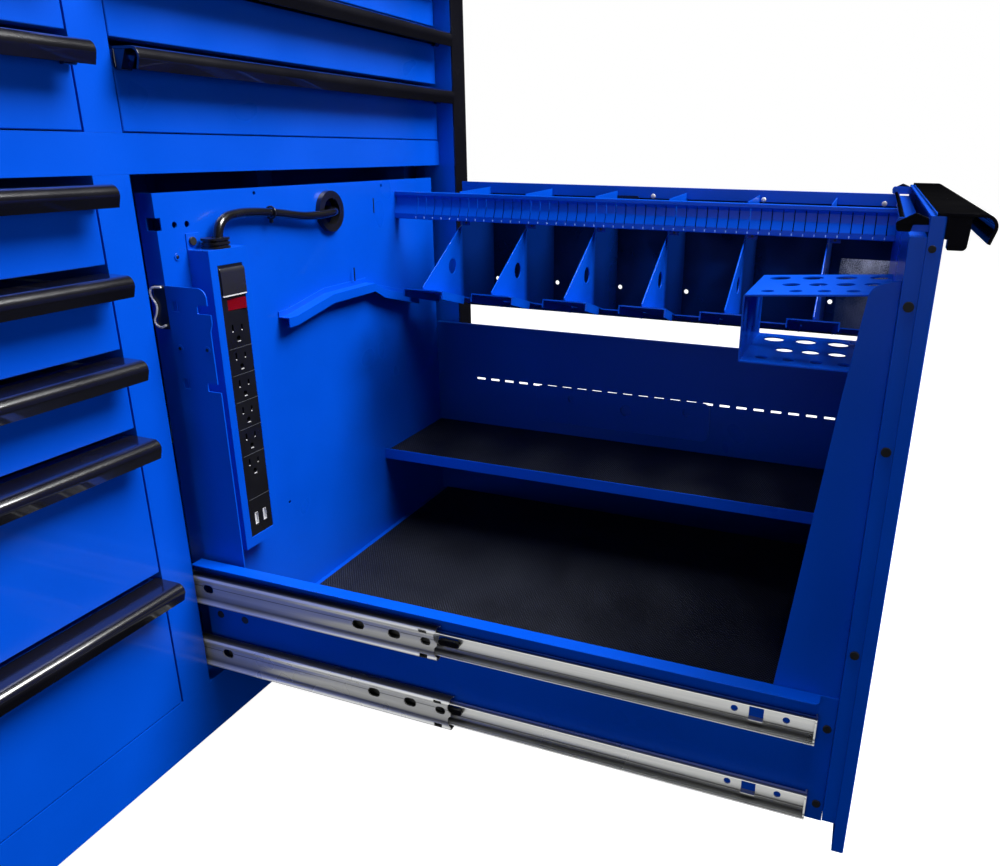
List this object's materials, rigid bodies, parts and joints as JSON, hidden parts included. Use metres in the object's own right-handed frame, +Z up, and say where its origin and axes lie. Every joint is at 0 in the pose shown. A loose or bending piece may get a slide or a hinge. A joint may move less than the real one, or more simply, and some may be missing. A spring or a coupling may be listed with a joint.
{
  "type": "rolling tool cabinet",
  "caption": "Wide steel rolling tool cabinet: banks of shallow drawers with full-width pulls, and a deep pull-out with tool rack, bit holder and outlet strip, on swivel and rigid casters",
  "frame": {"origin": "on the floor, at the centre of the width, in the plane of the closed drawer fronts, which is midway between the lip of the open pull-out and the back", "axes": "+X along the width, the drawers open along -Y, +Z up"},
  "size_m": [1.219, 1.3643, 1.046],
  "materials": {
    "blue_paint": "glossy powder coat",
    "black_paint": "glossy black powder coat",
    "zinc_steel": "zinc plated, satin",
    "black_plastic": "fine grained",
    "rocker_plastic": "glossy lens",
    "cord_rubber": "satin jacket",
    "ribbed_rubber": "fine ribs",
    "tyre_rubber": "satin"
  },
  "bodies": {
    "cabinet": {"side_panels": "blue_paint", "back_panel": "blue_paint", "base_pan": "blue_paint", "centre_partition": "blue_paint", "face_frame": "blue_paint", "worktop": "blue_paint", "corner_trims": "black_paint", "slide_rails": "zinc_steel", "caster_mounts": "zinc_steel"},
    "left_drawer_1": {"left_drawer_1": "blue_paint", "left_pull_1": "black_paint"},
    "left_drawer_2": {"left_drawer_2": "blue_paint", "left_pull_2": "black_paint"},
    "left_drawer_3": {"left_drawer_3": "blue_paint", "left_pull_3": "black_paint"},
    "right_drawer_1": {"right_drawer_1": "blue_paint", "right_pull_1": "black_paint"},
    "right_drawer_2": {"right_drawer_2": "blue_paint", "right_pull_2": "black_paint"},
    "right_drawer_3": {"right_drawer_3": "blue_paint", "right_pull_3": "black_paint"},
    "left_drawer_4": {"left_drawer_4": "blue_paint", "left_pull_4": "black_paint"},
    "left_drawer_5": {"left_drawer_5": "blue_paint", "left_pull_5": "black_paint"},
    "left_drawer_6": {"left_drawer_6": "blue_paint", "left_pull_6": "black_paint"},
    "left_drawer_7": {"left_drawer_7": "blue_paint", "left_pull_7": "black_paint"},
    "left_drawer_8": {"left_drawer_8": "blue_paint", "left_pull_8": "black_paint"},
    "pullout": {"pullout_front": "blue_paint", "pullout_pull": "black_paint", "pullout_tray": "blue_paint", "pullout_rear_panel": "blue_paint", "rear_side_plate": "blue_paint", "front_gusset": "blue_paint", "mid_shelf": "blue_paint", "drawer_mats": "ribbed_rubber", "rack_rails": "blue_paint", "rack_dividers": "blue_paint", "rack_shelf": "blue_paint", "rack_back_plate": "blue_paint", "bit_holder": "blue_paint", "hook_arm": "blue_paint", "strip_housing": "blue_paint", "strip_insert": "black_plastic", "power_cord": "cord_rubber", "cord_fittings": "black_plastic", "slide_drawer_members": "zinc_steel", "pullout_fasteners": "zinc_steel"},
    "slide_carriages": {"slide_middle_members": "zinc_steel"},
    "rocker": {"rocker_switch": "rocker_plastic"},
    "latch": {"pullout_latch": "black_paint"},
    "swivel_front": {"swivel_fork_front": "zinc_steel"},
    "right_wheel_front": {"wheel_right_front": "tyre_rubber"},
    "left_wheel_front": {"wheel_left_front": "tyre_rubber"},
    "swivel_rear": {"swivel_fork_rear": "zinc_steel"},
    "right_wheel_rear": {"wheel_right_rear": "tyre_rubber"},
    "left_wheel_rear": {"wheel_left_rear": "tyre_rubber"}
  },
  "joints": [
    {"name": "left_drawer_1_slide", "type": "slide", "parent": "cabinet", "child": "left_drawer_1", "axis": [0, -1, 0], "range_m": [0, 0.56]},
    {"name": "left_drawer_2_slide", "type": "slide", "parent": "cabinet", "child": "left_drawer_2", "axis": [0, -1, 0], "range_m": [0, 0.56]},
    {"name": "left_drawer_3_slide", "type": "slide", "parent": "cabinet", "child": "left_drawer_3", "axis": [0, -1, 0], "range_m": [0, 0.56]},
    {"name": "right_drawer_1_slide", "type": "slide", "parent": "cabinet", "child": "right_drawer_1", "axis": [0, -1, 0], "range_m": [0, 0.56]},
    {"name": "right_drawer_2_slide", "type": "slide", "parent": "cabinet", "child": "right_drawer_2", "axis": [0, -1, 0], "range_m": [0, 0.56]},
    {"name": "right_drawer_3_slide", "type": "slide", "parent": "cabinet", "child": "right_drawer_3", "axis": [0, -1, 0], "range_m": [0, 0.56]},
    {"name": "left_drawer_4_slide", "type": "slide", "parent": "cabinet", "child": "left_drawer_4", "axis": [0, -1, 0], "range_m": [0, 0.56]},
    {"name": "left_drawer_5_slide", "type": "slide", "parent": "cabinet", "child": "left_drawer_5", "axis": [0, -1, 0], "range_m": [0, 0.56]},
    {"name": "left_drawer_6_slide", "type": "slide", "parent": "cabinet", "child": "left_drawer_6", "axis": [0, -1, 0], "range_m": [0, 0.56]},
    {"name": "left_drawer_7_slide", "type": "slide", "parent": "cabinet", "child": "left_drawer_7", "axis": [0, -1, 0], "range_m": [0, 0.56]},
    {"name": "left_drawer_8_slide", "type": "slide", "parent": "cabinet", "child": "left_drawer_8", "axis": [0, -1, 0], "range_m": [0, 0.56]},
    {"name": "pullout_slide", "type": "slide", "parent": "cabinet", "child": "pullout", "axis": [0, 1, 0], "range_m": [0, 0.653]},
    {"name": "slide_carriages_slide", "type": "slide", "parent": "cabinet", "child": "slide_carriages", "axis": [0, 1, 0], "range_m": [0, 0.3265]},
    {"name": "rocker_tilt", "type": "hinge", "parent": "pullout", "child": "rocker", "pos_m": [0.10415, -0.0184, 0.6237], "axis": [0, 0, 1], "range_deg": [0, 16]},
    {"name": "latch_turn", "type": "hinge", "parent": "pullout", "child": "latch", "pos_m": [0.295, -0.6285, 0.731], "axis": [-1, 0, 0], "range_deg": [0, 15], "stiffness_Nm_per_rad": 0.5, "springref_deg": -11.46},
    {"name": "swivel_front_turn", "type": "hinge", "parent": "cabinet", "child": "swivel_front", "pos_m": [0.5345, 0.075, 0.15], "axis": [0, 0, 1], "continuous": true},
    {"name": "right_wheel_front_spin", "type": "hinge", "parent": "swivel_front", "child": "right_wheel_front", "pos_m": [0.4995, 0.075, 0.0635], "axis": [0, 1, 0], "continuous": true},
    {"name": "left_wheel_front_spin", "type": "hinge", "parent": "cabinet", "child": "left_wheel_front", "pos_m": [-0.5345, 0.075, 0.0635], "axis": [0, 1, 0], "continuous": true},
    {"name": "swivel_rear_turn", "type": "hinge", "parent": "cabinet", "child": "swivel_rear", "pos_m": [0.5345, 0.6072, 0.15], "axis": [0, 0, 1], "continuous": true},
    {"name": "right_wheel_rear_spin", "type": "hinge", "parent": "swivel_rear", "child": "right_wheel_rear", "pos_m": [0.4995, 0.6072, 0.0635], "axis": [0, 1, 0], "continuous": true},
    {"name": "left_wheel_rear_spin", "type": "hinge", "parent": "cabinet", "child": "left_wheel_rear", "pos_m": [-0.5345, 0.6072, 0.0635], "axis": [0, 1, 0], "continuous": true}
  ],
  "couplings": [
    {"joint": "slide_carriages_slide", "follows": "pullout_slide", "ratio": 0.5}
  ]
}
